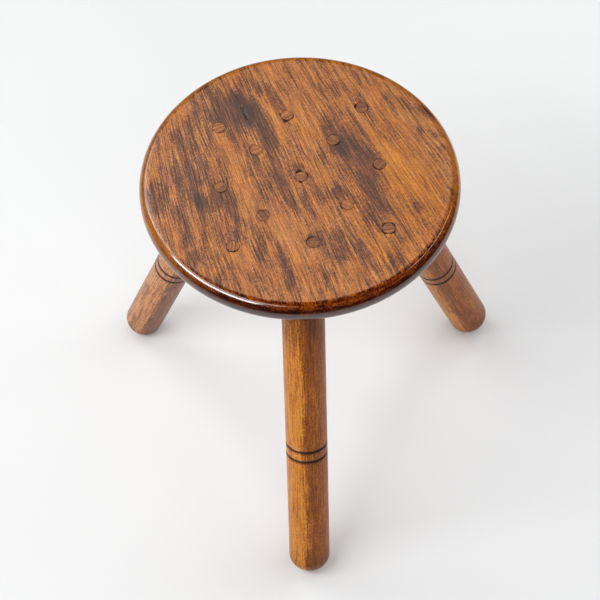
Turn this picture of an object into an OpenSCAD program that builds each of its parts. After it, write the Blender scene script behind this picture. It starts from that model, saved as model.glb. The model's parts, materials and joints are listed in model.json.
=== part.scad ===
// Low three-leg stool: a round bull-nosed seat board, screwed down through
// plugged holes onto a hidden leg block that holds three splayed, turned legs.
// Millimetres, +Z up. The origin is on the floor, under the centre of the seat.

/* [Seat] */
// Height of the seat top above the floor
seat_h = 387; // [360:1:440]
// Diameter of the seat board
seat_d = 300; // [290:1:340]
// Thickness of the seat board, which is also the diameter of its half-round rim
seat_t = 22; // [20:1:28]

/* [Legs] */
// Diameter of the front leg
leg_front_d = 41; // [36:0.5:44]
// Diameter of the left leg
leg_left_d = 39; // [36:0.5:44]
// Diameter of the right leg
leg_right_d = 40.5; // [36:0.5:44]
// Direction of the front leg, seen from above, from +X
leg_front_turn = 270; // [265:0.5:275]
// Direction of the left leg, seen from above, from +X
leg_left_turn = 151.5; // [145:0.5:155]
// Direction of the right leg, seen from above, from +X
leg_right_turn = 26.5; // [25:0.5:35]
// How far each leg leans out from upright, in degrees
leg_splay = 19.6; // [16:0.1:20]
// Distance from the stool's axis to a leg's axis, at the underside of the seat
leg_top_r = 73.2; // [71:0.1:75]
// Height of the domed foot as a share of the leg's radius
foot_dome = 0.88; // [0.6:0.01:1]
// Depth that the dome is levelled off where it meets the floor
foot_level = 0.8; // [0.4:0.1:1.5]

/* [Turned rings] */
// Upper ring on the front leg, measured up the leg from the floor
ring_front_h = 166.5; // [120:0.5:200]
// Upper ring on the left leg
ring_left_h = 165; // [120:0.5:200]
// Upper ring on the right leg
ring_right_h = 155; // [120:0.5:200]
// Distance between the two rings of a leg
ring_gap = 12; // [6:0.5:20]
// Width of one V-shaped ring
ring_w = 1.6; // [1:0.1:3]
// Depth of one V-shaped ring
ring_depth = 1.1; // [0.5:0.1:2]

/* [Leg block under the seat] */
// Diameter of the block
block_d = 230; // [226:1:240]
// Thickness of the block
block_t = 32; // [30:1:38]
// Chamfer round the block's lower edge
block_chamfer = 4; // [1:0.5:6]
// Diameter of the tenon turned on the top of each leg
tenon_d = 28; // [26:0.5:30]
// Depth of the wedge driven into each tenon
wedge_l = 20; // [12:1:24]
// Thickness of a wedge at its thick end
wedge_t = 3.2; // [2.5:0.1:4]

/* [Plugs and screws] */
// Diameter of a plug
plug_d = 12; // [10:0.5:14]
// Depth of a plug's hole
plug_depth = 8; // [6:0.5:9]
// Half the spacing of the plug pattern
plug_step = 36.3; // [35:0.1:36.5]
// Turn of the plug pattern, seen from above
plug_turn = 7.4; // [7:0.1:8]
// Diameter over a screw's thread
screw_d = 4.5; // [3.5:0.5:4.5]
// Length of a screw
screw_l = 30; // [24:1:30]

/* [Hidden] */
$fn = 96;
seat_z = seat_h - seat_t;          // underside of the seat, top of the block
block_z = seat_z - block_t;        // underside of the block
glue = 0.1;                        // a glue line, on each side of a glued joint
slack = 0.2;                       // room round a leg in its pocket

LEG_D = [leg_front_d, leg_left_d, leg_right_d];
LEG_TURN = [leg_front_turn, leg_left_turn, leg_right_turn];
RING_H = [ring_front_h, ring_left_h, ring_right_h];
leg_l = seat_z / cos(leg_splay);   // along a leg's axis, floor to seat

// The plugs' places on a quincunx of rows 3, 2, 3, 2, 3, from the back, and
// how far each hand-bored hole strayed from its place.
PLUG_GRID = [
    [-2, 2], [0, 2], [2, 2], [-1, 1], [1, 1], [-2, 0], [0, 0],
    [2, 0], [-1, -1], [1, -1], [-2, -2], [0, -2], [2, -2],
];
PLUG_STRAY = [
    [6, -2], [-1.5, 1.5], [-2.5, -1], [0.5, 1.5], [1, 2], [-1.5, 0], [1.5, 0.5],
    [3, 3.5], [-3, -2.5], [3, -1.5], [0.5, 4.5], [1.5, -3], [-1, 1.5],
];
PINNED_PLUG = 11;                  // the screw under this plug enters the front tenon
function plug_at(i) = [
    plug_step * (PLUG_GRID[i][0] * cos(plug_turn) - PLUG_GRID[i][1] * sin(plug_turn)) + PLUG_STRAY[i][0],
    plug_step * (PLUG_GRID[i][1] * cos(plug_turn) + PLUG_GRID[i][0] * sin(plug_turn)) + PLUG_STRAY[i][1],
];

plug_floor_z = seat_h - plug_depth;
screw_head_d = 2 * screw_d - 0.2;
screw_cone = (screw_head_d - screw_d) / 2;
head_rim = 0.3;                    // upright edge of a screw's head
screw_tip = 5;                     // length of the screw's point
screw_hole_d = screw_d + 2 * glue; // in the block
screw_pass_d = screw_d + 0.7;      // through the seat
thread_pitch = 2;
thread_root_r = screw_d * 0.36;
hole_over = 1;                     // how far a cut runs past the face it opens

PLUG_NAMES = [for (i = [1:13]) str("plug_", i < 10 ? "0" : "", i)];
SCREW_NAMES = [for (i = [1:13]) str("screw_", i < 10 ? "0" : "", i)];
LEG_NAMES = ["leg_front", "leg_left", "leg_right"];
WEDGE_NAMES = ["wedge_front", "wedge_left", "wedge_right"];

// Puts its children on leg i: Z runs up the leg's axis, with zero at the
// underside of the seat and X pointing outward.
module on_leg(i) {
    rotate([0, 0, LEG_TURN[i]])
        translate([leg_top_r, 0, seat_z])
            rotate([0, -leg_splay, 0])
                children();
}

// Everything above a level, for trimming.
module above(z) {
    translate([-seat_d, -seat_d, z]) cube([2 * seat_d, 2 * seat_d, seat_h]);
}

// Everything below a level, for trimming.
module below(z) {
    translate([-seat_d, -seat_d, z - seat_h]) cube([2 * seat_d, 2 * seat_d, seat_h]);
}

// One round, flat-topped board with a half-round rim.
module round_board() {
    translate([0, 0, seat_z])
        rotate_extrude($fn = 180) {
            square([(seat_d - seat_t) / 2, seat_t]);
            translate([(seat_d - seat_t) / 2, 0])
                intersection() {
                    translate([0, seat_t / 2]) circle(d = seat_t);
                    square([seat_t, seat_t]);
                }
        }
}

// The stepped hole for plug i: plug hole, countersink and a way through.
module seat_hole(i) {
    translate([plug_at(i)[0], plug_at(i)[1], 0]) {
        translate([0, 0, plug_floor_z])
            cylinder(d = plug_d + 2 * glue, h = plug_depth + hole_over);
        translate([0, 0, plug_floor_z - head_rim - glue])
            cylinder(d = screw_head_d + 2 * glue, h = plug_depth);
        translate([0, 0, plug_floor_z - head_rim - screw_cone - glue])
            cylinder(d1 = screw_d + 2 * glue, d2 = screw_head_d + 2 * glue, h = screw_cone);
        translate([0, 0, seat_z - hole_over])
            cylinder(d = screw_pass_d, h = seat_t);
    }
}

module seat_board() {
    color("#9a5524")
        difference() {
            round_board();
            for (i = [0:12]) seat_hole(i);
        }
}

// The hole that screw i makes below the seat.
module screw_hole(i) {
    translate([plug_at(i)[0], plug_at(i)[1], plug_floor_z - screw_l - glue])
        cylinder(d = screw_hole_d, h = screw_l);
}

// Where leg i goes into the block: a pocket for its shoulder, then a bore.
module leg_socket(i) {
    on_leg(i) {
        translate([0, 0, shoulder(i) - leg_l])
            cylinder(d = LEG_D[i] + 2 * slack, h = leg_l);
        translate([0, 0, shoulder(i)])
            cylinder(d = tenon_d + 2 * glue, h = block_t * 2);
    }
}

// A leg's shoulder is square to its axis and just inside the block all round.
function shoulder(i) = -(block_t - LEG_D[i] / 2 * sin(leg_splay)) / cos(leg_splay);

module leg_block() {
    color("#7d4722")
        difference() {
            translate([0, 0, block_z])
                rotate_extrude($fn = 180)
                    polygon([
                        [0, 0],
                        [block_d / 2 - block_chamfer, 0],
                        [block_d / 2, block_chamfer],
                        [block_d / 2, block_t],
                        [0, block_t],
                    ]);
            difference() {
                for (i = [0:2]) leg_socket(i);
                above(seat_z + hole_over);
            }
            for (i = [0:12]) screw_hole(i);
        }
}

// One V-shaped ring in a leg's outline, at height h on a leg of radius r.
function ring(r, h) = [[r, h - ring_w / 2], [r - ring_depth, h], [r, h + ring_w / 2]];

// Half the outline of leg i, from the tip of its dome up to its tenon.
function leg_outline(i) =
    let (
        r = LEG_D[i] / 2,
        dome = foot_dome * r,
        drop = sqrt(pow(r * sin(leg_splay), 2) + pow(dome * cos(leg_splay), 2)),
        dome_z = -(seat_z - drop + foot_level) / cos(leg_splay),
        ring_z = RING_H[i] - leg_l
    )
    concat(
        [for (a = [-90:5:0]) [r * cos(a), dome_z + dome * sin(a)]],
        ring(r, ring_z - ring_gap),
        ring(r, ring_z),
        [[r, shoulder(i)], [tenon_d / 2, shoulder(i)], [tenon_d / 2, tenon_d], [0, tenon_d]]
    );

// The wedge's own outline, grown by gap, as it stands in a tenon's kerf.
module wedge_shape(width, gap) {
    translate([-width / 2, 0, 0])
        rotate([90, 0, 90])
            linear_extrude(width)
                polygon([
                    [-wedge_t / 2 - gap, 0],
                    [-wedge_t / 8 - gap, -wedge_l - gap],
                    [wedge_t / 8 + gap, -wedge_l - gap],
                    [wedge_t / 2 + gap, 0],
                    [wedge_t / 2 + gap, tenon_d],
                    [-wedge_t / 2 - gap, tenon_d],
                ]);
}

module leg(i) {
    color("#8f4e21")
        difference() {
            on_leg(i)
                difference() {
                    rotate_extrude() polygon(leg_outline(i));
                    wedge_shape(2 * tenon_d, glue / 2);
                }
            below(0);
            above(seat_z - slack);
            if (i == 0) screw_hole(PINNED_PLUG);
        }
}

module wedge(i) {
    color("#c08a4a")
        difference() {
            on_leg(i) wedge_shape(tenon_d - 0.6, 0);
            above(seat_z - slack);
        }
}

// A cross-cut disc of board grain, eased at its lower edge.
module plug(i) {
    ease = 0.6;
    color(i % 3 == 0 ? "#a8642e" : i % 3 == 1 ? "#85461d" : "#94531f")
        translate([plug_at(i)[0], plug_at(i)[1], seat_h - plug_depth + glue])
            rotate_extrude()
                polygon([
                    [0, 0],
                    [plug_d / 2 - ease, 0],
                    [plug_d / 2, ease],
                    [plug_d / 2, plug_depth - glue],
                    [0, plug_depth - glue],
                ]);
}

// Half the outline of a countersunk wood screw, head at zero, point down.
function screw_outline() =
    let (
        r = screw_d / 2,
        head_r = screw_head_d / 2,
        shank = screw_l * 0.35,
        turns = floor((screw_l - shank - screw_tip) / thread_pitch)
    )
    concat(
        [[0, 0], [head_r, 0], [head_r, -head_rim], [r, -head_rim - screw_cone], [r, -shank]],
        [
            for (k = [0:turns - 1], step = [0:1])
                [step == 0 ? thread_root_r : r, -shank - thread_pitch * (k + 0.5 + 0.5 * step)]
        ],
        [[thread_root_r, -screw_l + screw_tip], [0, -screw_l]]
    );

module screw(i) {
    recess_w = 0.9;
    recess_l = screw_head_d * 0.55;
    color("#b9b4a8")
        translate([plug_at(i)[0], plug_at(i)[1], plug_floor_z])
            difference() {
                rotate_extrude($fn = 36) polygon(screw_outline());
                for (turn = [0, 90])
                    rotate([0, 0, turn + 20 * i])
                        translate([-recess_l / 2, -recess_w / 2, -1.4])
                            cube([recess_l, recess_w, 2]);
            }
}

seat_board();
leg_block();
for (i = [0:2]) {
    leg(i);
    wedge(i);
}
for (i = [0:12]) {
    plug(i);
    screw(i);
}
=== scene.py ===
"""Looks of the low three-leg stool: stained and varnished wood, plugs set by hand, turned legs.

Lengths are metres, as in the frame, apart from names that end in _mm and the tables that say
millimetres. The wood materials read three attributes of a mesh's points:
  board   the place in the board that the piece was cut from, in millimetres, as (across the
          grain, along the grain, through the board)
  stain   how deep the stain took: lighter wood below 0, dark near 1, holes and cuts above 1.4;
        on the legs it also holds painted shade, on their side away from the key light and at
        their tops under the seat
  warmth  how rich the colour is: duller below 0. A piece without it has 0 all over.
"""

import json
import math

import bmesh
import bpy
import numpy as np
from mathutils import Matrix, Vector, geometry, noise


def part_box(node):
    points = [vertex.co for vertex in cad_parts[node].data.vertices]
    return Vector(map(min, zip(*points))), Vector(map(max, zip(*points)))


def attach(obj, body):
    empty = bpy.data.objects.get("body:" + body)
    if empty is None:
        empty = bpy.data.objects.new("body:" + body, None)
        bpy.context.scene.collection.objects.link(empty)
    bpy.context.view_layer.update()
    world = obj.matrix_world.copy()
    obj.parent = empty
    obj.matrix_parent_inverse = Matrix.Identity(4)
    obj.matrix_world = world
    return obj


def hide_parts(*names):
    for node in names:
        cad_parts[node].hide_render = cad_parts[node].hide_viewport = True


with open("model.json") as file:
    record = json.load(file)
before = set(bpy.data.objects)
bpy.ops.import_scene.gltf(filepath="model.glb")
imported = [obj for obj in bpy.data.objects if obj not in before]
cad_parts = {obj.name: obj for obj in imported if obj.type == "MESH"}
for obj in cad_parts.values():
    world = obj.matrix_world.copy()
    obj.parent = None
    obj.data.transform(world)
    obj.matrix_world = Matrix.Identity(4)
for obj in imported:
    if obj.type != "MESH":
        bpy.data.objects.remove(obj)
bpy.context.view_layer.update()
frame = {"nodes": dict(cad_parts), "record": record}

MM = 0.001

# ---- sizes, from the frame ------------------------------------------------------------------
seat_low, seat_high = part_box("seat_board")
SEAT_TOP = seat_high.z
SEAT_UNDER = seat_low.z
SEAT_T = SEAT_TOP - SEAT_UNDER
SEAT_R = (seat_high.x - seat_low.x) / 2
RIM_R = SEAT_T / 2                      # the rim is half round
FLAT_R = SEAT_R - RIM_R                 # where the flat top ends

# ---- sizes that repeat part.scad ------------------------------------------------------------
LEG_SPLAY = math.radians(19.6)
LEG_TOP_R = 73.2 * MM                   # a leg's axis from the stool's axis, under the seat
FOOT_DOME = 0.88                        # height of the foot's dome over the leg's radius
FOOT_LEVEL = 0.8 * MM                   # depth of the dome levelled off
RING_GAP, RING_W, RING_DEPTH = 12 * MM, 1.6 * MM, 1.1 * MM
LEGS = {                                # diameter, height of the upper ring up the leg
    "front": (41 * MM, 166.5 * MM),
    "left": (39 * MM, 165 * MM),
    "right": (40.5 * MM, 155 * MM),
}
TENON_R = 14 * MM
PLUG_R = 6 * MM
GLUE = 0.1 * MM
HEAD_R = 4.4 * MM                       # a screw's head, and the straight rim above its cone
HEAD_RIM = 0.3 * MM
PASS_R = 2.6 * MM                       # the way through the seat for a screw

# ---- finish of the legs and the rim ---------------------------------------------------------
LEG_LOOKS = {                           # depth of tone, warmth, turn of the grain in degrees
    "front": (0, 0, 25),
    # the left leg's duller colour is painted sheen, standing in for the greyish reflection along it
    "left": (0.12, -2.6, 160),
    "right": (0, 0, 290),
}
LEG_PAINTED_SHADE_SIDE = (1, -0.25, 0)           # painted shade: the side of the legs away from the key light is painted darker
LEG_WANDER = 0.12 * MM                  # how far a leg strays from a true round
RIM_SEAM = 3.4 * MM                     # the rim's thicker varnish starts this far out

# ---- grain and stain of the seat board ------------------------------------------------------
GRAIN_TURN = math.radians(20)           # of the grain from -Y towards +X, seen from above
GRAIN_FAN = 0.0011                      # how fast the grain spreads along the board, per mm

# Dark and light places in the stain, placed one by one. Millimetres on the seat from its centre:
# x, y, half length along the grain, half width across it (a pair where its two sides differ,
# -X first), and depth of tone (light below 0).
STAINS = [
    # the knot, top left, its halo, and the band below it with its sharp right edge
    (-56, 91, 14, 7, 0.8), (-49, 77, 14, 5, 0.9), (-51, 82, 26, 11, 0.45),
    (-33, 72, 34, (15, 1.0), 0.6), (-24, 52, 20, (12, 1.0), 0.35), (-38, 50, 16, 7, 0.25),
    (-74, 84, 20, 12, 0.5), (-64, 84, 22, 7, 0.5), (-55, 66, 14, 7, 0.55),
    (-66, 62, 20, 8, 0.3), (-64, 50, 6, 3.5, 0.45), (-39, 82, 10, 5, 0.3),
    (-22, 14, 30, 7, 0.65), (-12, -18, 22, 6, 0.5), (-43, 26, 13, 6, 0.5), (-34, 2, 18, 8, 0.4),
    (-44, 118, 20, 4, 0.5), (-33, 106, 12, 7, 0.45), (-21, 92, 18, 4, 0.45), (-10, 128, 12, 4, 0.3),
    (-52, 112, 10, 5, 0.25), (-26, 90, 8, 5, 0.3),
    # the broad band right of the middle
    (24, 96, 22, 4, 0.5), (29, 60, 22, 8, 0.6), (38, 34, 15, 8, 0.9), (46, 44, 12, 5, 0.6),
    (56, 60, 24, 3.5, 0.6), (57, 30, 18, 8, 0.4), (52, 8, 32, 12, 0.4), (66, -6, 30, 12, 0.35),
    (70, -38, 22, 9, 0.5), (58, -44, 18, 5, 0.35), (72, 21, 8, (8, 5), 0.6), (60, 83, 9, 6, 0.45),
    (36, -19, 8, 7, 0.7), (78, -62, 11, 9, 0.15), (40, 72, 16, 4, 0.4), (25, -26, 11, 5, 0.3),
    (72, 14, 22, (9, 1.0), 0.14), (84, -38, 12, (8, 1.0), 0.12),
    # the right edge
    (120, 74, 13, 6, 0.55), (104, 84, 14, 4, 0.3), (115, 52, 5, 3, 0.45), (130, 44, 5, 4, 0.45),
    (133, 30, 4, 4, 0.4), (108, -38, 8, 4, 0.35), (92, -74, 5, 3, 0.4), (66, 118, 14, 5, 0.3),
    (117, -54, 10, 5, 0.4), (84, -98, 14, 8, 0.4),
    # between the bands
    (-2, 10, 6, 6, 0.6), (12, -16, 18, 4, 0.5), (-7, 38, 16, 3, 0.35), (31, 120, 16, 3, 0.25),
    (2, 28, 9, 4, 0.3), (22, 20, 12, 5, 0.3),
    # the left side
    (-72, -22, 16, 13, 0.8), (-92, -27, 13, 4.5, 0.9), (-62, -38, 12, 6, 0.5),
    (-103, 4, 34, 15, 0.5), (-131, -20, 20, 9, 0.7), (-116, 50, 10, 6, 0.35), (-106, -22, 16, 9, 0.3),
    (-100, 42, 26, 12, 0.4), (-90, 66, 26, 9, 0.35), (-104, 62, 12, 6, 0.4),
    (-88, -52, 16, 4, 0.6), (-103, -62, 18, 3.5, 0.5), (-112, -38, 12, 6, 0.5),
    (-90, -72, 10, 5, 0.5), (-96, -88, 9, 7, 0.6), (-84, -96, 8, 6, 0.4), (-86, 106, 12, 6, 0.3),
    (-65, -50, 9, 6, 0.35),
    # the front
    (-62, -66, 10, 9, 0.4), (-38, -84, 14, 5, 0.35), (-30, -66, 10, 4, 0.3),
    (-15, -94, 24, 5, 0.5), (-11, -118, 9, 4, 0.6), (12, -73, 8, 9, 0.5), (38, -72, 16, 5, 0.4),
    (35, -90, 9, 7, 0.4), (-72, -112, 10, 7, 0.4), (-42, -112, 8, 4, 0.3), (20, -112, 14, 4, 0.25),
    (54, -80, 28, 7, 0.25), (14, -100, 10, 5, 0.3),
    # places that stayed light
    (-10, -68, 36, 8, -0.5), (92, 12, 30, 8, -0.4), (108, 0, 40, 18, -0.25),
    (-68, 28, 24, 5, -0.25), (-52, -14, 34, 6, -0.35), (6, 50, 24, 5, -0.35), (18, 14, 16, 5, -0.2),
    (48, 88, 30, 2.5, -0.35), (70, 48, 24, 3, -0.45), (-56, -92, 15, 8, -0.35),
    (72, 96, 20, 4, -0.25), (-25, 130, 12, 8, -0.25), (-27, -40, 12, 6, -0.35),
    (80, -52, 9, 5, -0.35), (-66, -80, 8, 5, -0.3), (80, -4, 14, 5, -0.3),
]

# Where the colour is richer, or duller below 0, in mm: x, y, half length, half width; and how much.
WARMTH = [
    (104, -26, 46, 26, 1.1), (86, 36, 44, 16, 0.4), (84, -92, 24, 16, 0.7), (60, -50, 30, 14, 0.5),
    (-106, 6, 50, 24, -0.7), (-86, 74, 30, 20, -0.8), (-48, 70, 26, 14, -0.7), (-40, 6, 30, 12, -0.4),
    (-4, -74, 30, 14, -0.5), (78, 104, 20, 12, 0.4),
]

# Each plug: turn of its grain from +X in degrees, depth of tone, and the gaps left round it,
# each as (direction in degrees, half width in degrees, how far the hole is chipped in mm).
PLUGS = [
    (20, 0.25, [(300, 50, 0.3)]),
    (35, 0.25, [(258, 26, 1.2), (330, 60, 0.4)]),
    (5, 0.60, [(165, 30, 0.9), (20, 50, 0.4)]),
    (30, 0.30, [(210, 60, 0.3)]),
    (-35, 0.45, [(310, 50, 0.6)]),
    (35, 0.45, [(290, 60, 0.4)]),
    (10, 0.40, [(112, 36, 1.1), (262, 22, 0.9), (20, 40, 0.5)]),
    (50, 0.62, [(230, 70, 0.5)]),
    (-60, 0.40, [(90, 60, 0.3)]),
    (-45, 0.25, [(200, 50, 0.3)]),
    (85, 0.35, [(265, 75, 0.7)]),
    (0, 0.62, [(130, 60, 0.5)]),
    (8, 0.48, [(45, 35, 0.8), (225, 35, 0.8), (135, 35, 0.5), (315, 35, 0.6)]),
]

# Where the knot tore out, and a slot across its grain, in mm: place, half length along the
# grain, half width across it, and depth.
PITS = [(-50, 74.5, 6.0, 1.9, 0.7), (-54.0, 83.2, 0.55, 1.5, 0.6), (-51.6, 81.2, 1.6, 0.6, 0.5)]
SLIVER = (-53.6, 86.9, 2.9, 1.1)        # left standing in the knot: place, half length, half width
KNOT_CENTRE = (-52, 80)                 # of the fine points over the knot, in mm
KNOT_REACH = (12.0, 7.0)                # how far they reach along and across the grain, in mm


# ---- shaping helpers ------------------------------------------------------------------------
def smooth(value, start, end):
    """0 below start, 1 above end, and an even curve between."""
    t = np.clip((value - start) / (end - start), 0, 1)
    return t * t * (3 - 2 * t)


def grain_axes(x_mm, y_mm):
    """(across, along) the grain of the seat board."""
    across = x_mm * math.cos(GRAIN_TURN) + y_mm * math.sin(GRAIN_TURN)
    along = x_mm * math.sin(GRAIN_TURN) - y_mm * math.cos(GRAIN_TURN)
    return across / (1 + GRAIN_FAN * along), along


def on_grain(across, along):
    """The place that lies so far across and along the grain from the seat's centre."""
    return (across * math.cos(GRAIN_TURN) + along * math.sin(GRAIN_TURN),
            across * math.sin(GRAIN_TURN) - along * math.cos(GRAIN_TURN))


def patch(across, along, x_mm, y_mm, half_l, half_w):
    """A soft spot, long along the grain: 1 at its centre, 0 well outside. Its two sides differ
    where half_w is a pair. It has a flatter middle and a steeper edge than a bell curve."""
    across_0, along_0 = grain_axes(x_mm, y_mm)
    if isinstance(half_w, tuple):
        half_w = np.where(across < across_0, half_w[0], half_w[1])
    far = ((across - across_0) / half_w) ** 2 + ((along - along_0) / half_l) ** 2
    return np.exp(-0.9 * far ** 1.4)


def put_attribute(mesh, name, values, kind="FLOAT"):
    """Gives each point of a mesh a value, or a vector."""
    layer = mesh.attributes.new(name, kind, "POINT")
    layer.data.foreach_set("vector" if kind == "FLOAT_VECTOR" else "value",
                           np.asarray(values, np.float32).ravel())


def make_object(name, verts, faces):
    """A smooth-shaded object in the scene, with its faces turned outward."""
    mesh = bpy.data.meshes.new(name)
    mesh.from_pydata([tuple(v) for v in verts], [], [tuple(f) for f in faces])
    mesh.validate()
    work = bmesh.new()
    work.from_mesh(mesh)
    bmesh.ops.recalc_face_normals(work, faces=work.faces)
    work.to_mesh(mesh)
    work.free()
    mesh.shade_smooth()
    obj = bpy.data.objects.new(name, mesh)
    bpy.context.scene.collection.objects.link(obj)
    return obj


def ring_of(radius, count, centre=(0, 0)):
    """Points on a circle, counted from +X towards +Y."""
    turn = np.arange(count) * 2 * math.pi / count
    return np.stack([centre[0] + radius * np.cos(turn), centre[1] + radius * np.sin(turn)], -1)


def add_ring(verts, radius, z, count, centre=(0, 0)):
    """Adds a level ring of points to verts, and returns their numbers."""
    start = len(verts)
    verts += [[x, y, z] for x, y in ring_of(radius, count, centre)]
    return list(range(start, len(verts)))


def bridge(low, high):
    """Faces between two closed rings of vertex numbers."""
    return [(low[i - 1], low[i], high[i], high[i - 1]) for i in range(len(low))]


def fan(tip, ring):
    """Faces between one vertex and a closed ring of vertex numbers."""
    return [(tip, ring[i - 1], ring[i]) for i in range(len(ring))]


# ---- seat -----------------------------------------------------------------------------------
RIM_SEGMENTS = 360
RIM_STEPS = 28                          # rings of faces from the flat top round to the underside
HOLE_SEGMENTS = 48
TOP_SPACING = (1.2 * MM, 4 * MM)        # of the top's points, across and along the grain
KNOT_SPACING = (0.35 * MM, 0.6 * MM)
UNDER_SPACING = (9 * MM, 9 * MM)
EDGE_ROOM, HOLE_ROOM = 0.6, 0.35        # kept clear of such points, in spacings across
TOP_EASE = 6 * MM                       # the hand-finished top runs true this near the rim
TOP_WAVES = [(45, 0.07, 3), (14, 0.03, 8)]      # in it: length and mean depth in mm, noise layer
HALO_MM = 12                            # how far a plug can darken the seat, from its centre
HOLE_R = PLUG_R + GLUE
plug_boxes = [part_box(f"plug_{i + 1:02d}") for i in range(len(PLUGS))]
PLUG_CENTRES = [((low + high) / 2).xy for low, high in plug_boxes]
PLUG_FLOOR = plug_boxes[0][0].z - GLUE
# Rings of points round each plug hole, from its edge outward: how far out each stands in mm, the
# share of a chip that it moves out by, and how far it drops, in mm and as a share of the chip.
HOLE_EDGE = [(0, 1, 0.10, 0.35), (0.25, 1, 0.02, 0.1), (0.8, 0.8, 0, 0), (1.7, 0, 0, 0)]


def gap_at(gaps, angle_deg):
    """How far a plug's hole is chipped, in mm, in a direction."""
    reach = 0.0
    for turn, half_width, depth in gaps:
        off = abs((angle_deg - turn + 180) % 360 - 180) / half_width
        reach = max(reach, depth * max(0.0, 1 - off ** 2))
    return reach


def sheet_with_holes(outer, hole_rings, spacing, extra=()):
    """A flat triangle mesh inside a round outline, open at each hole's first ring.

    The points between are spaced across and along the grain, so that edges of the stain run
    clean along it. Returns the points, the triangles, and the point numbers of the outline and
    of each hole's rings.
    """
    points = [tuple(p) for p in outer]
    edges = [(i, (i + 1) % len(outer)) for i in range(len(outer))]
    hole_ids = []
    for rings in hole_rings:
        ids = []
        for ring in rings:
            start = len(points)
            points += [tuple(p) for p in ring]
            ids.append(list(range(start, len(points))))
        hole_ids.append(ids)
        edges += [(ids[0][i - 1], ids[0][i]) for i in range(len(ids[0]))]
    points += clear_points(float(np.linalg.norm(outer[0])), hole_rings, spacing, extra)
    made = geometry.delaunay_2d_cdt([Vector(p) for p in points], edges, [], 0, 1e-7)
    verts, faces, origins = made[0], made[2], made[3]
    where = {}
    for i, from_ids in enumerate(origins):
        for k in from_ids:
            where[k] = i
    outline = [where[i] for i in range(len(outer))]
    holes = [[[where[i] for i in ring] for ring in ids] for ids in hole_ids]
    inside = [set(ids[0]) for ids in holes]
    kept = [f for f in faces if not any(all(v in ring for v in f) for ring in inside)]
    return np.array([tuple(v) for v in verts]), kept, outline, holes


def clear_points(radius, hole_rings, spacing, extra):
    """Points spaced across and along the grain, and the extra ones, clear of outline and holes."""
    middles = [np.mean(rings[0], 0) for rings in hole_rings]
    reaches = [max(np.linalg.norm(rings[-1] - middle, axis=1))
               for rings, middle in zip(hole_rings, middles)]
    wide, long = spacing
    columns, rows = int(radius / wide) + 2, int(radius / long) + 2
    loose = [on_grain(wide * i, long * (j + 0.5 * (i % 2)))
             for i in range(-columns, columns + 1) for j in range(-rows, rows + 1)]
    return [p for p in loose + list(extra)
            if math.hypot(*p) <= radius - EDGE_ROOM * wide
            and all(math.hypot(p[0] - c[0], p[1] - c[1]) >= reach + HOLE_ROOM * wide
                    for c, reach in zip(middles, reaches))]


def near_knot():
    """Extra points over the knot, so that its shape and stain hold."""
    wide, long = KNOT_SPACING
    centre = Vector(KNOT_CENTRE) * MM
    jog = 0.013 * MM                    # keeps these points off the even grid
    rows, columns = int(KNOT_REACH[0] * MM / long), int(KNOT_REACH[1] * MM / wide)
    return [tuple(centre + Vector(on_grain(i * wide + jog, j * long + jog)))
            for i in range(-columns, columns + 1) for j in range(-rows, rows + 1)]


def top_dip_mm(x_mm, y_mm):
    """How far the hand-finished top lies under a true plane."""
    dip = sum(depth * (1 + noise.noise(Vector((x_mm / length, y_mm / length, layer))))
              for length, depth, layer in TOP_WAVES)
    across, along = grain_axes(x_mm, y_mm)
    wild = 1 + 0.7 * noise.noise(Vector((x_mm / 1.5, y_mm / 1.5, 1)))       # of the pits' edges
    for x, y, half_l, half_w, depth in PITS:
        across_0, along_0 = grain_axes(x, y)
        off = ((across - across_0) / half_w) ** 2 + ((along - along_0) / half_l) ** 2
        dip += depth * max(0.0, 1 - off * wild) ** 0.6 * wild
    return dip


def seat_stain(x_mm, y_mm):
    """Depth of tone from the stain patches, over the whole board."""
    across, along = grain_axes(x_mm, y_mm)
    tone = np.zeros_like(x_mm)
    for x, y, half_l, half_w, depth in STAINS:
        tone = tone + depth * patch(across, along, x, y, half_l, half_w)
    # the pits are darkest, out past their edges, and the sound sliver stays light
    for x, y, half_l, half_w, _ in PITS:
        tone = tone + 1.1 * patch(across, along, x, y, 1.2 * half_l, 1.4 * half_w)
    tone = tone - 1.3 * patch(across, along, *SLIVER)
    # a dark line round each plug, darker and wider where its hole is chipped
    for centre, (_, _, gaps) in zip(PLUG_CENTRES, PLUGS):
        dx, dy = x_mm - centre.x / MM, y_mm - centre.y / MM
        far = np.hypot(dx, dy)
        for i in np.flatnonzero(far < HALO_MM):
            chip = gap_at(gaps, math.degrees(math.atan2(dy[i], dx[i])))
            outside = max(far[i] - HOLE_R / MM - chip, 0)
            tone[i] += (0.50 + 0.9 * min(chip, 1)) * math.exp(-outside / (0.4 + 0.4 * chip))
    return tone


def seat_top():
    """The flat of the top with its pits and eased holes: vertices, faces, outline, hole rings."""
    rings = [[ring_of(HOLE_R + out * MM, HOLE_SEGMENTS, centre) for out, _, _, _ in HOLE_EDGE]
             for centre in PLUG_CENTRES]
    flat, faces, outline, holes = sheet_with_holes(
        ring_of(FLAT_R, RIM_SEGMENTS), rings, TOP_SPACING, near_knot())
    verts = []
    for x, y in flat:
        away = smooth(FLAT_R - math.hypot(x, y), 0, TOP_EASE)
        verts.append([x, y, SEAT_TOP - MM * top_dip_mm(x / MM, y / MM) * away])
    for centre, ids, (_, _, gaps) in zip(PLUG_CENTRES, holes, PLUGS):
        for ring, (out, out_share, drop, drop_share) in zip(ids, HOLE_EDGE):
            for k, i in enumerate(ring):
                turn = 2 * math.pi * k / HOLE_SEGMENTS
                chip = gap_at(gaps, math.degrees(turn))
                radius = HOLE_R + (out + out_share * chip) * MM
                verts[i][0] = centre.x + radius * math.cos(turn)
                verts[i][1] = centre.y + radius * math.sin(turn)
                verts[i][2] -= (drop + drop_share * chip) * MM
    return verts, faces, outline, holes


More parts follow.
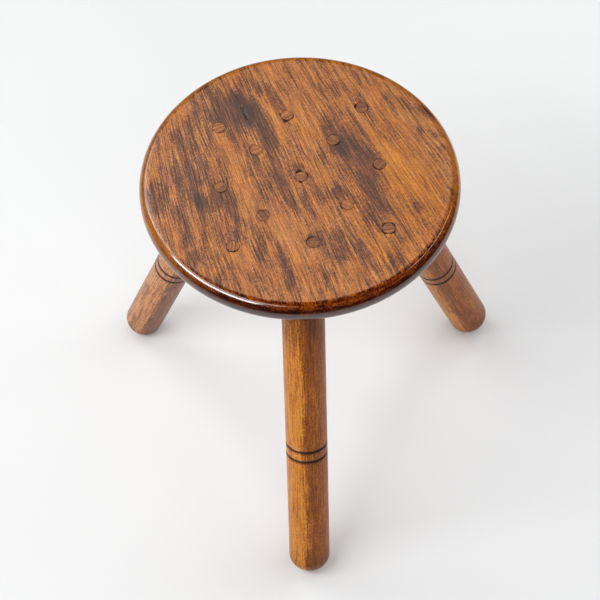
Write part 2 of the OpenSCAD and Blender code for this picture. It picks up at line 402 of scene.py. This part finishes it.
def add_rim(verts, faces, outline):
    """Adds the half-round rim, and returns its last ring."""
    last = outline
    for step in range(1, RIM_STEPS + 1):
        tilt = math.pi * step / RIM_STEPS
        ring = add_ring(verts, FLAT_R + RIM_R * math.sin(tilt),
                        SEAT_TOP - RIM_R + RIM_R * math.cos(tilt), RIM_SEGMENTS)
        faces += bridge(last, ring)
        last = ring
    return last


def add_underside(verts, faces, rim_ring):
    """Adds the underside inside the rim's last ring, and returns the rings of its holes."""
    rings = [[ring_of(PASS_R, HOLE_SEGMENTS, centre)] for centre in PLUG_CENTRES]
    flat, triangles, outline, holes = sheet_with_holes(
        ring_of(FLAT_R, RIM_SEGMENTS), rings, UNDER_SPACING)
    number = {v: rim_ring[k] for k, v in enumerate(outline)}
    for k, (x, y) in enumerate(flat):
        if k not in number:
            number[k] = len(verts)
            verts.append([x, y, SEAT_UNDER])
    faces += [tuple(number[v] for v in f) for f in triangles]
    return [[number[v] for v in ids[0]] for ids in holes]


def add_hole_walls(verts, faces, top_rings, under_rings):
    """Adds the stepped wall of each hole, from the plug down to the underside."""
    wall_start = SEAT_TOP - 2.5 * MM
    cone_top = PLUG_FLOOR - HEAD_RIM - GLUE
    cone_r = HEAD_R + GLUE
    wall = [(HOLE_R, wall_start), (HOLE_R, PLUG_FLOOR), (cone_r, PLUG_FLOOR),
            (cone_r, cone_top), (PASS_R, cone_top - (cone_r - PASS_R))]
    for centre, top_ring, under_ring in zip(PLUG_CENTRES, top_rings, under_rings):
        last = top_ring
        for radius, z in wall:
            ring = add_ring(verts, radius, z, HOLE_SEGMENTS, centre)
            faces += bridge(last, ring)
            last = ring
        faces += bridge(last, under_ring)


def seat_board():
    verts, faces, outline, holes = seat_top()
    rim_ring = add_rim(verts, faces, outline)
    under_rings = add_underside(verts, faces, rim_ring)
    add_hole_walls(verts, faces, [ids[0] for ids in holes], under_rings)
    seat = make_object("seat_board_finish", verts, faces)
    co = np.array(verts) / MM
    across, along = grain_axes(co[:, 0], co[:, 1])
    put_attribute(seat.data, "board", np.stack([across, along, co[:, 2]], -1), "FLOAT_VECTOR")
    put_attribute(seat.data, "stain", seat_stain(co[:, 0], co[:, 1]))
    warmth = sum(spot[4] * patch(across, along, *spot[:4]) for spot in WARMTH)
    put_attribute(seat.data, "warmth", warmth)
    return seat


# ---- plugs ----------------------------------------------------------------------------------
PLUG_EASE = 0.16 * MM                   # of a plug's upper edge
PLUG_FOOT = 0.6 * MM                    # of its lower edge, for an easy start into the hole
PLUG_CORE = 5 * MM                      # a plug is worn outside this radius only
PLUG_APART_MM = (37, 90)                # between the places that two plugs were cut from


def plug_rings(low_z, high_z, top_z):
    """Radius and height of each ring of points, from the middle of the top down to the bottom."""
    middle = (low_z + high_z) / 2
    rings = [(r * MM, top_z) for r in (1.2, 2.4, 3.6, 4.7, 5.4)]
    rings += [(PLUG_R - PLUG_EASE, top_z), (PLUG_R - 0.3 * PLUG_EASE, top_z - 0.35 * PLUG_EASE)]
    rings += [(PLUG_R, top_z - 1.4 * PLUG_EASE), (PLUG_R, middle)]
    return rings + [(PLUG_R, low_z + PLUG_FOOT), (PLUG_R - PLUG_FOOT, low_z)]


def plug_piece(index):
    turn, tone, gaps = PLUGS[index]
    turned = math.radians(turn)
    low, high = plug_boxes[index]
    top_z = high.z - (0.03 + 0.02 * (index * 5 % 4)) * MM       # each a little under the seat's top
    verts = [[0, 0, top_z]]
    ids = [add_ring(verts, radius, z, HOLE_SEGMENTS) for radius, z in plug_rings(low.z, high.z, top_z)]
    verts.append([0, 0, low.z])
    faces = fan(0, ids[0])
    for a, b in zip(ids, ids[1:]):
        faces += bridge(a, b)
    faces += fan(len(verts) - 1, ids[-1])
    for v in verts:
        if v[2] > high.z - 1 * MM:      # the top is slightly uneven
            v[2] -= 0.05 * MM * (1 + noise.noise(Vector((v[0], v[1], index)) * 400))
        radius = math.hypot(v[0], v[1])
        if radius > PLUG_CORE and v[2] > high.z - 3 * MM:       # and worn where its hole is chipped
            chip = gap_at(gaps, math.degrees(math.atan2(v[1], v[0]) + turned))
            v[2] -= 0.25 * chip * (radius - PLUG_CORE)
    plug = make_object(f"plug_{index + 1:02d}_finish", verts, faces)
    co = np.array(verts) / MM
    board = [co[:, 1] + PLUG_APART_MM[0] * index, co[:, 0] + PLUG_APART_MM[1] * index, co[:, 2]]
    put_attribute(plug.data, "board", np.stack(board, -1), "FLOAT_VECTOR")
    angle = np.degrees(np.arctan2(co[:, 1], co[:, 0])) + turn
    chips = np.array([gap_at(gaps, a) for a in angle])
    rim = smooth(np.hypot(co[:, 0], co[:, 1]), PLUG_CORE / MM, PLUG_R / MM)
    put_attribute(plug.data, "stain", tone + rim * (0.25 + 0.8 * chips))
    plug.data.transform(Matrix.Translation((*PLUG_CENTRES[index], 0)) @ Matrix.Rotation(turned, 4, "Z"))
    return plug


# ---- legs -----------------------------------------------------------------------------------
LEG_SEGMENTS = 112
LEG_STEP = 3 * MM                       # between the rings of points up a leg
LEG_APART_MM = (300, 120)               # between the places that two legs were cut from
TENON_TOP_GAP = 0.2 * MM                # between a tenon's top and the seat
RING_STEPS = (-0.8, -0.55, -0.42, -0.12, 0, 0.12, 0.42, 0.55, 0.8)      # in widths of a turned ring
RING_LIP = 0.06 * MM                    # how far its edges are rounded over


def leg_matrix(name):
    """Stands a leg in the frame: its Z runs up the axis from the underside of the seat."""
    foot = Vector(next(m["pos_m"] for m in frame["record"]["mounts"] if m["name"] == f"foot_{name}"))
    turn = math.atan2(foot.y, foot.x)
    return (Matrix.Rotation(turn, 4, "Z") @ Matrix.Translation((LEG_TOP_R, 0, SEAT_UNDER))
            @ Matrix.Rotation(-LEG_SPLAY, 4, "Y"))


def leg_outline(radius, ring_up):
    """Radius and height of each ring of points, from the foot up to the top of the tenon."""
    dome = FOOT_DOME * radius
    drop = math.hypot(radius * math.sin(LEG_SPLAY), dome * math.cos(LEG_SPLAY))
    dome_z = -(SEAT_UNDER - drop + FOOT_LEVEL) / math.cos(LEG_SPLAY)
    block_t = SEAT_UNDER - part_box("leg_block")[0].z
    shoulder = -(block_t - radius * math.sin(LEG_SPLAY)) / math.cos(LEG_SPLAY)
    ring_z = ring_up - SEAT_UNDER / math.cos(LEG_SPLAY)
    points = [(radius * math.cos(a), dome_z + dome * math.sin(a))
              for a in np.radians(np.arange(-86, 0, 4))]
    heights = list(np.arange(dome_z, shoulder - 1 * MM, LEG_STEP))
    for centre in (ring_z - RING_GAP, ring_z):
        heights = [h for h in heights if abs(h - centre) > RING_W]
        heights += [centre + step * RING_W for step in RING_STEPS]
    for h in sorted(heights):
        cut = 0.0
        for centre in (ring_z - RING_GAP, ring_z):
            off = abs(h - centre) / (RING_W / 2)
            cut += RING_DEPTH * max(0.0, 1 - off) + RING_LIP * math.exp(-((off - 1) / 0.25) ** 2)
        points.append((radius - cut, h))
    ease = 0.4 * MM
    points += [(radius, shoulder - ease), (radius - ease, shoulder), (TENON_R, shoulder)]
    points += [(TENON_R, h) for h in np.linspace(shoulder + 2 * MM, 2 * TENON_R, 12)]
    return points


def turned_leg(outline, seed):
    """Vertices and faces of a leg, which stands on its own axis."""
    verts = [[0, 0, outline[0][1] - 0.02 * MM]]
    ids = []
    for r, z in outline:
        ids.append(list(range(len(verts), len(verts) + LEG_SEGMENTS)))
        for x, y in ring_of(1.0, LEG_SEGMENTS):
            # turned by hand: the leg is never quite straight or even
            sway = noise.noise(Vector((z / MM / 35, x * 0.6, y * 0.6 + 5 * seed)))
            tenon = r <= TENON_R + MM and z >= -100 * MM        # it fits its socket, so it is even
            radius = r if tenon else r - LEG_WANDER * (1 + sway)
            verts.append([radius * x, radius * y, z])
    verts.append([0, 0, outline[-1][1]])
    faces = fan(0, ids[0])
    for a, b in zip(ids, ids[1:]):
        faces += bridge(a, b)
    faces += fan(len(verts) - 1, ids[-1])
    return verts, faces


def leg_piece(name):
    diameter, ring_up = LEGS[name]
    deeper, warmth, grain_turn = LEG_LOOKS[name]
    seed = list(LEGS).index(name)
    verts, faces = turned_leg(leg_outline(diameter / 2, ring_up), seed)
    leg = make_object(f"leg_{name}_finish", verts, faces)
    place = leg_matrix(name)
    trim_leg(leg, place)
    mesh = leg.data
    co = np.zeros(len(mesh.vertices) * 3, np.float32)
    mesh.vertices.foreach_get("co", co)
    co = co.reshape(-1, 3) / MM
    spin = math.radians(grain_turn)
    across = co[:, 0] * math.cos(spin) + co[:, 1] * math.sin(spin)
    through = co[:, 1] * math.cos(spin) - co[:, 0] * math.sin(spin)
    board = [across + LEG_APART_MM[0] * seed, co[:, 2], through + LEG_APART_MM[1] * seed]
    put_attribute(mesh, "board", np.stack(board, -1), "FLOAT_VECTOR")
    # a leg's stain also holds painted shade: its side away from the key light and its top under the seat
    put_attribute(mesh, "stain", deeper + leg_stain_and_shade(co, ring_up / MM, place))
    put_attribute(mesh, "warmth", np.full(len(co), warmth))
    mesh.transform(place)
    return leg


def leg_stain_and_shade(co, ring_up, place):
    """Depth of tone on a leg: darker in its rings and at its foot, with painted shade at its top under
    the seat and on its side away from the key light.
    """
    side = (place.to_3x3().inverted() @ Vector(LEG_PAINTED_SHADE_SIDE)).xy.normalized()
    far = np.maximum(np.hypot(co[:, 0], co[:, 1]), 1e-6)
    toward_shade = (co[:, 0] * side.x + co[:, 1] * side.y) / far
    up = co[:, 2] + SEAT_UNDER / MM / math.cos(LEG_SPLAY)       # mm up the axis from the floor
    tone = 0.64 * smooth(toward_shade, -0.12, 0.42)                   # painted shade, on the side away from the key light
    tone = tone + 0.22 * (1 - smooth(up, 12, 50))               # the foot
    tone = tone + 0.40 * smooth(up, 240, 345)                   # painted shade at the top, under the seat
    for ring in (ring_up, ring_up - RING_GAP / MM):
        tone = tone + 3.6 * np.exp(-(up - ring) ** 2)           # 1 mm to either side of a ring
    return tone


def trim_leg(leg, place):
    """Levels the foot with the floor and the tenon with the seat's underside."""
    work = bmesh.new()
    work.from_mesh(leg.data)
    back = place.inverted()
    up = (back.to_3x3() @ Vector((0, 0, 1))).normalized()
    for height, direction in ((0.0, -up), (SEAT_UNDER - TENON_TOP_GAP, up)):
        point = back @ Vector((0, 0, height))
        every = work.verts[:] + work.edges[:] + work.faces[:]
        cut = bmesh.ops.bisect_plane(work, geom=every, dist=1e-7, plane_co=point,
                                     plane_no=direction, clear_outer=True)
        rim = [e for e in cut["geom_cut"] if isinstance(e, bmesh.types.BMEdge)]
        bmesh.ops.edgenet_fill(work, edges=rim)
    work.to_mesh(leg.data)
    work.free()


# ---- materials ------------------------------------------------------------------------------
def shaded(name):
    """A new material, the graph of its nodes, and its shader."""
    material = bpy.data.materials.new(name)
    material.use_nodes = True
    g = Graph(material.node_tree)
    return material, g, g.tree.nodes["Principled BSDF"]


class Graph:
    """Shorthand for building one node tree."""

    def __init__(self, tree):
        self.tree = tree

    def add(self, kind, inputs=None, **settings):
        node = self.tree.nodes.new(kind)
        for key, value in settings.items():
            setattr(node, key, value)
        for key, value in (inputs or {}).items():
            if isinstance(value, bpy.types.NodeSocket):
                self.tree.links.new(value, node.inputs[key])
            else:
                node.inputs[key].default_value = value
        return node

    def link(self, value, shader, name):
        self.tree.links.new(value, shader.inputs[name])

    def math(self, operation, a, b=0.0, c=0.0):
        return self.add("ShaderNodeMath", {0: a, 1: b, 2: c}, operation=operation).outputs[0]

    def product(self, a, b):
        return self.math("MULTIPLY", a, b)

    def tally(self, start, *weighed):
        """start plus each (value, weight) pair's product."""
        for value, weight in weighed:
            start = self.math("MULTIPLY_ADD", value, weight, start)
        return start

    def object_place(self, unit=1.0):
        """A point's place in the object, in metres times unit."""
        place = self.add("ShaderNodeTexCoord").outputs["Object"]
        return place if unit == 1 else self.scaled(place, (unit, unit, unit))

    def scaled(self, vector, scale):
        """vector times scale, each axis by its own share."""
        return self.add("ShaderNodeVectorMath", {0: vector, 1: scale}, operation="MULTIPLY").outputs[0]

    def noise(self, vector, detail=2.0, rough=0.5, distortion=0.0):
        return self.add("ShaderNodeTexNoise", {"Vector": vector, "Scale": 1.0, "Detail": detail,
                        "Roughness": rough, "Distortion": distortion}).outputs["Fac"]

    def span(self, value, low, high, to_low=0.0, to_high=1.0):
        """value's stretch from low to high, eased at both ends, drawn out to another stretch."""
        return self.add("ShaderNodeMapRange", {"Value": value, "From Min": low, "From Max": high,
                        "To Min": to_low, "To Max": to_high}, interpolation_type="SMOOTHSTEP").outputs[0]

    def ramp(self, value, stops):
        """A colour from a list of (value, colour)."""
        node = self.add("ShaderNodeValToRGB", {"Fac": value})
        ramp = node.color_ramp
        ramp.elements[0].position, ramp.elements[0].color = stops[0][0], (*stops[0][1], 1)
        ramp.elements[1].position, ramp.elements[1].color = stops[-1][0], (*stops[-1][1], 1)
        for place, colour in stops[1:-1]:
            ramp.elements.new(place).color = (*colour, 1)
        return node.outputs["Color"]

    def mix(self, share, a, b):
        """A colour from a at share 0 to b at share 1."""
        return self.add("ShaderNodeMix", {"Factor": share, 6: a, 7: b},
                        data_type="RGBA").outputs[2]

    def bump(self, height, strength, distance):
        return self.add("ShaderNodeBump", {"Strength": strength, "Distance": distance,
                        "Height": height}).outputs[0]


STAIN_COLOURS = [  # from the lightest to the darkest wood
    (0.00, (0.600, 0.224, 0.031)),
    (0.25, (0.385, 0.130, 0.023)),
    (0.50, (0.236, 0.074, 0.016)),
    (0.75, (0.112, 0.033, 0.009)),
    (1.00, (0.036, 0.011, 0.004)),
]
RIM_COLOURS = [  # richer, where the varnish pooled over the end grain, and darker as painted shade at the front of the rim
    (0.00, (0.460, 0.130, 0.010)),
    (0.30, (0.330, 0.076, 0.004)),
    (0.55, (0.165, 0.030, 0.0014)),
    (0.80, (0.058, 0.007, 0.0006)),
    (1.00, (0.020, 0.001, 0.0003)),
]
LEG_COLOURS = [
    (0.00, (0.740, 0.290, 0.042)),
    (0.25, (0.480, 0.148, 0.014)),
    (0.50, (0.245, 0.063, 0.007)),
    (0.75, (0.105, 0.026, 0.004)),
    (1.00, (0.018, 0.006, 0.003)),
]
CORNER_ROUGH = 0.13                     # of the seat's varnish past the corner of its flat top

# Layers of the wood's figure: size across and along the grain in mm, detail, roughness and
# distortion of the noise, and the part of its range that is drawn out.
FIGURE = {
    "bands": (9, 120, 3, 0.6, 0.0, (0.30, 0.70)),
    "lines": (1.6, 50, 3, 0.65, 0.0, (0.35, 0.65)),
    "hairs": (0.7, 20, 2, 0.6, 0.0, (0.36, 0.64)),
    "pores": (0.8, 24, 1, 0.5, 0.0, (0.56, 0.68)),
    "clouds": (12, 24, 5, 0.65, 0.5, (0.30, 0.70)),
    "flecks": (1.5, 2.2, 4, 0.6, 0.6, (0.36, 0.64)),
    "reds": (5, 26, 4, 0.65, 0.0, (0.30, 0.70)),
    "golds": (4, 16, 4, 0.65, 0.3, (0.30, 0.70)),
}


def figure(g, board, layer, lowest=-1.0):
    """One layer of the figure, from lowest to 1."""
    wide, long, detail, rough, distortion, (low, high) = FIGURE[layer]
    raw = g.noise(g.scaled(board, (1 / wide, 1 / long, 1 / wide)), detail, rough, distortion)
    return g.span(raw, low, high, lowest, 1.0)


def wood_tone(g, board, stain, base, fine, mottle, drift):
    """Tone of the stained wood, 0 light to 1 dark, and a height for its grain."""
    # slow wander of the grain, so that no line runs dead straight
    wander = g.noise(g.scaled(board, (1 / 40, 1 / 120, 1 / 40)), 2, 0.5)
    shift = g.add("ShaderNodeCombineXYZ", {"X": g.math("MULTIPLY_ADD", wander, 10.0, -5.0)})
    bent = g.add("ShaderNodeVectorMath", {0: board, 1: shift.outputs[0]}, operation="ADD").outputs[0]
    bands, lines, hairs = (figure(g, bent, layer) for layer in ("bands", "lines", "hairs"))
    pores = figure(g, bent, "pores", 0.0)
    clouds, flecks = figure(g, board, "clouds"), figure(g, board, "flecks")
    # the stain took unevenly, so its dark places end in streaks along the grain
    ragged = g.tally(stain, (lines, 0.13 * fine), (flecks, 0.12 * mottle),
                     (clouds, 0.17 * mottle * drift), (bands, 0.10 * drift), (hairs, 0.08))
    soaked, deep = g.span(ragged, -0.1, 0.62), g.span(stain, 0.6, 1.2)
    spared, cuts = g.span(stain, 0.0, -0.6), g.span(stain, 1.4, 2.6)
    tone = g.math("MULTIPLY_ADD", soaked, 0.40, base)
    tone = g.tally(tone, (cuts, 0.6), (deep, 0.25), (spared, -0.10), (bands, 0.04 * drift),
                   (lines, 0.12 * fine), (hairs, 0.14 * fine), (pores, 0.15 * fine),
                   (clouds, 0.05 * mottle), (flecks, 0.12 * mottle))
    height = g.math("ADD", g.product(lines, 0.5), g.product(hairs, 0.7))
    return tone, height


def rim_tone(g, tone):
    """The seat's tone with the colour that gathered round its rim and painted shade at its front;
    a mask that is 1 past the corner of the flat top; and the share that the rim's colours take."""
    parts = g.add("ShaderNodeSeparateXYZ", {0: g.object_place()}).outputs
    radius = g.math("SQRT", g.math("ADD", g.product(parts[0], parts[0]), g.product(parts[1], parts[1])))
    # colour gathers where the flat top turns over into the rim
    corner = g.span(radius, FLAT_R + 0.2 * MM, FLAT_R + 2.0 * MM)
    # most of all at the front, a little to the right: partly stain pooled over the end grain, partly
    # painted shade where the rim mirrors no light
    front_shade = g.math("ADD", g.product(parts[0], 0.24), g.product(parts[1], -0.97))
    front_shade = g.span(g.math("DIVIDE", front_shade, radius), 0.15, 0.88)
    # painted shade: the lower half of the rim is darker at the front
    lower = g.span(radius, FLAT_R + 6.0 * MM, FLAT_R + 9.5 * MM)
    # its blotches are drawn out round the rim, as a cloth leaves them
    blotch_size, blotch_length = 2.2 * MM, 14 * MM
    round_rim = g.add("ShaderNodeCombineXYZ", {
        "X": g.math("DIVIDE", radius, blotch_size),
        "Y": g.product(g.math("ARCTAN2", parts[1], parts[0]), SEAT_R / blotch_length),
        "Z": g.math("DIVIDE", parts[2], blotch_size)}).outputs[0]
    blotch = g.span(g.noise(round_rim, 4, 0.62, 0.4), 0.34, 0.66, 0.08, 0.44)
    rim_pool_and_shade = g.product(corner, front_shade)
    tone = g.tally(tone, (rim_pool_and_shade, blotch), (g.product(lower, front_shade), 0.25))
    return tone, corner, rim_pool_and_shade


def stained_wood(name, base=0.34, fine=1.0, mottle=1.0, rough=0.36, bump=0.2, ior=1.5, level=0.5,
                 colours=STAIN_COLOURS, drift=1.0, from_board=True, seat=False, pooled=False):
    """Stained and varnished wood: base is its tone; fine, mottle and drift are the shares of its
    lines, its flecks and its wandering colour. Without from_board it reads no attribute. The
    seat's colour gathers round the rim, darker at the rim's front with painted shade, and pooled
    is its even, glossy varnish past the corner."""
    material, g, shader = shaded(name)
    if from_board:
        board = g.add("ShaderNodeAttribute", attribute_name="board").outputs["Vector"]
        stain = g.add("ShaderNodeAttribute", attribute_name="stain").outputs["Fac"]
    else:
        board, stain = g.object_place(1 / MM), 0.0
    tone, height = wood_tone(g, board, stain, base, fine, mottle, drift)
    wear = 0.02 if pooled else 0.10     # how far the varnish's gloss varies
    shine = g.noise(g.scaled(board, (1 / 5, 1 / 9, 1 / 5)), 3, 0.6)
    shine = g.math("MULTIPLY_ADD", shine, wear, rough - wear / 2)
    # the hue drifts a little along the grain: redder here, more golden there
    hue = g.math("MULTIPLY_ADD", figure(g, board, "reds"), 0.005 * drift, 0.5)
    richness = g.math("MULTIPLY_ADD", figure(g, board, "golds"), 0.04 * drift, 1.01)
    if from_board:
        warmth = g.add("ShaderNodeAttribute", attribute_name="warmth").outputs["Fac"]
        richness = g.math("MULTIPLY_ADD", warmth, 0.055, richness)
    if seat:
        # resin shines in the knot and in the chipped edges
        shine = g.math("MULTIPLY_ADD", g.span(stain, 1.3, 2.2), -0.1, shine)
        tone, corner, rim_pool_and_shade = rim_tone(g, tone)
        if not pooled:
            shine = g.add("ShaderNodeMix", {"Factor": corner, 2: shine, 3: CORNER_ROUGH}).outputs[0]
    colour = g.ramp(tone, colours)
    if seat:
        # the rim's colours: pooled stain, with painted shade towards the front of the rim
        colour = g.mix(rim_pool_and_shade, colour, g.ramp(tone, RIM_COLOURS))
    colour = g.add("ShaderNodeHueSaturation", {"Hue": hue, "Saturation": richness,
                   "Color": colour}).outputs["Color"]
    g.link(colour, shader, "Base Color")
    g.link(shine, shader, "Roughness")
    shader.inputs["IOR"].default_value = ior
    shader.inputs["Specular IOR Level"].default_value = level
    g.link(g.bump(height, bump, 0.15 * MM), shader, "Normal")
    return material


def screw_steel():
    material, g, shader = shaded("zinc_plated_steel")
    place = g.object_place(1 / MM)
    cloud = g.noise(g.scaled(place, (0.6, 0.6, 0.6)), 4, 0.6)
    zinc = g.ramp(cloud, [(0.3, (0.55, 0.53, 0.46)), (0.7, (0.72, 0.71, 0.68))])
    g.link(zinc, shader, "Base Color")
    g.link(g.span(cloud, 0.3, 0.7, 0.22, 0.4), shader, "Roughness")
    shader.inputs["Metallic"].default_value = 1.0
    fine = g.noise(g.scaled(place, (5, 5, 5)), 2, 0.5)
    g.link(g.bump(fine, 0.15, 0.05 * MM), shader, "Normal")
    return material


def floor_material():
    material, g, shader = shaded("studio_floor")
    cloud = g.noise(g.scaled(g.object_place(), (2, 2, 2)), 3, 0.5)
    paper = g.ramp(cloud, [(0.3, (0.785, 0.793, 0.797)), (0.7, (0.800, 0.808, 0.812))])
    g.link(paper, shader, "Base Color")
    shader.inputs["Roughness"].default_value = 0.7
    shader.inputs["Specular IOR Level"].default_value = 0.2
    return material


# ---- stage ----------------------------------------------------------------------------------
FLOOR_SIZE, FLOOR_CELLS = 12.0, 24
WORLD_LEVEL = 0.03                      # strength of the room's own even light


def make_floor():
    work = bmesh.new()
    bmesh.ops.create_grid(work, x_segments=FLOOR_CELLS, y_segments=FLOOR_CELLS, size=FLOOR_SIZE / 2)
    mesh = bpy.data.meshes.new("studio_floor")
    work.to_mesh(mesh)
    work.free()
    floor = bpy.data.objects.new("studio_floor", mesh)
    bpy.context.scene.collection.objects.link(floor)
    mesh.materials.append(floor_material())


# Each light: azimuth from +X and elevation of its two ends as seen from the seat, distance,
# breadth across, power in watts, and whether varnish mirrors it.
LIGHTS = {
    "key_left": ((182, 34), (240, 47), 1.8, 0.36, 18.5, True),
    "key_wrap": ((154, 26), (256, 58), 1.8, 0.10, 4.0, True),
    "panel_back_left": ((121, 36), (159, 36), 2.2, 1.4, 13.0, True),
    "panel_back": ((48, 49), (132, 49), 2.2, 1.3, 12.0, True),
    "panel_back_right": ((26, 26), (64, 26), 2.2, 1.4, 10.0, False),
    "fill_right": ((-7, 24), (27, 24), 2.2, 1.2, 11.0, False),
    "fill_front": ((262, 32), (306, 32), 2.2, 1.6, 11.0, False),
    "fill_front_right": ((315, 27), (350, 27), 2.2, 1.4, 9.0, False),
    "edge_right": ((-8, 50), (24, 33), 1.8, 0.06, 1.2, True),
}


def direction(azimuth, elevation):
    """A unit vector, from two angles in degrees."""
    turn, lift = math.radians(azimuth), math.radians(elevation)
    return Vector((math.cos(turn) * math.cos(lift), math.sin(turn) * math.cos(lift), math.sin(lift)))


def make_light(name, start, end, distance, breadth, power, mirrored):
    """A rectangular light, drawn from one direction round to another, that faces the seat."""
    a, b = direction(*start) * distance, direction(*end) * distance
    middle = (a + b) / 2
    length = (b - a).normalized()
    away = middle - length * middle.dot(length)
    away.normalize()
    lamp = bpy.data.lights.new(name, "AREA")
    lamp.shape, lamp.size, lamp.size_y = "RECTANGLE", (b - a).length, breadth
    lamp.energy = power
    obj = bpy.data.objects.new(name, lamp)
    bpy.context.scene.collection.objects.link(obj)
    axes = Matrix((length, away.cross(length), away)).transposed().to_4x4()
    obj.matrix_world = Matrix.Translation(middle + Vector((0, 0, SEAT_TOP))) @ axes
    obj.visible_glossy = mirrored


def make_lights():
    for name, settings in LIGHTS.items():
        make_light(name, *settings)
    world = bpy.data.worlds.new("room")
    bpy.context.scene.world = world
    world.use_nodes = True
    back = world.node_tree.nodes["Background"]
    back.inputs["Color"].default_value = (1, 1, 1, 1)
    back.inputs["Strength"].default_value = WORLD_LEVEL


CAMERA_LENS_MM, CAMERA_SENSOR_MM = 138.0, 36.0
CAMERA_AIM = Vector((8.06, 0, 182.46)) * MM     # the camera stands back from this point
CAMERA_DISTANCE = 2.3054
CAMERA_PITCH, CAMERA_YAW, CAMERA_ROLL = 56.0, -0.284, -1.403    # degrees


def make_camera():
    """The photo's camera: it looks down by its pitch, turned a little aside and tilted."""
    pitch, yaw, roll = (math.radians(a) for a in (CAMERA_PITCH, CAMERA_YAW, CAMERA_ROLL))
    back = Vector((0, -math.cos(pitch), math.sin(pitch)))
    right = Vector((1, 0, 0))
    up = right.cross(-back)
    ahead = -back * math.cos(yaw) + right * math.sin(yaw)
    right = right * math.cos(yaw) + back * math.sin(yaw)
    right, up = (right * math.cos(roll) + up * math.sin(roll),
                 up * math.cos(roll) - right * math.sin(roll))
    data = bpy.data.cameras.new("camera")
    data.lens, data.sensor_width = CAMERA_LENS_MM, CAMERA_SENSOR_MM
    data.clip_end = 50
    camera = bpy.data.objects.new("camera", data)
    bpy.context.scene.collection.objects.link(camera)
    camera.matrix_world = Matrix.Translation(CAMERA_AIM + back * CAMERA_DISTANCE) @ Matrix(
        (right, up, -ahead)).transposed().to_4x4()
    bpy.context.scene.camera = camera


# ---- build ----------------------------------------------------------------------------------
make_camera()
make_lights()
make_floor()

seat_wood = stained_wood("seat_wood", base=0.35, seat=True)
rim_wood = stained_wood("rim_wood", base=0.35, fine=0.6, mottle=0.45, rough=0.135, bump=0.010,
                        ior=1.85, seat=True, pooled=True)
plug_wood = stained_wood("plug_wood", base=0.25, fine=0.8, mottle=0.6, drift=0.0)
leg_wood = stained_wood("leg_wood", base=0.08, fine=0.6, mottle=0.7, level=0.25,
                        colours=LEG_COLOURS, drift=0.7)
block_wood = stained_wood("block_wood", from_board=False, rough=0.4)
wedge_wood = stained_wood("wedge_wood", base=0.05, from_board=False, rough=0.6, fine=0.6)
steel = screw_steel()


def paint(piece, material):
    piece.data.materials.clear()
    piece.data.materials.append(material)


def finish_piece(piece, node, material):
    paint(piece, material)
    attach(piece, "root")
    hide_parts(node)


seat = seat_board()
finish_piece(seat, "seat_board", seat_wood)
seat.data.materials.append(rim_wood)
for face in seat.data.polygons:
    face.material_index = int(math.hypot(*face.center.xy) > FLAT_R + RIM_SEAM)
for i in range(len(PLUGS)):
    finish_piece(plug_piece(i), f"plug_{i + 1:02d}", plug_wood)
for side in LEGS:
    finish_piece(leg_piece(side), f"leg_{side}", leg_wood)
# the hidden pieces keep their CAD meshes
paint(frame["nodes"]["leg_block"], block_wood)
for i in range(len(PLUGS)):
    paint(frame["nodes"][f"screw_{i + 1:02d}"], steel)
for side in LEGS:
    paint(frame["nodes"][f"wedge_{side}"], wedge_wood)

view = bpy.context.scene.view_settings
view.view_transform = "Standard"
view.look = "None"
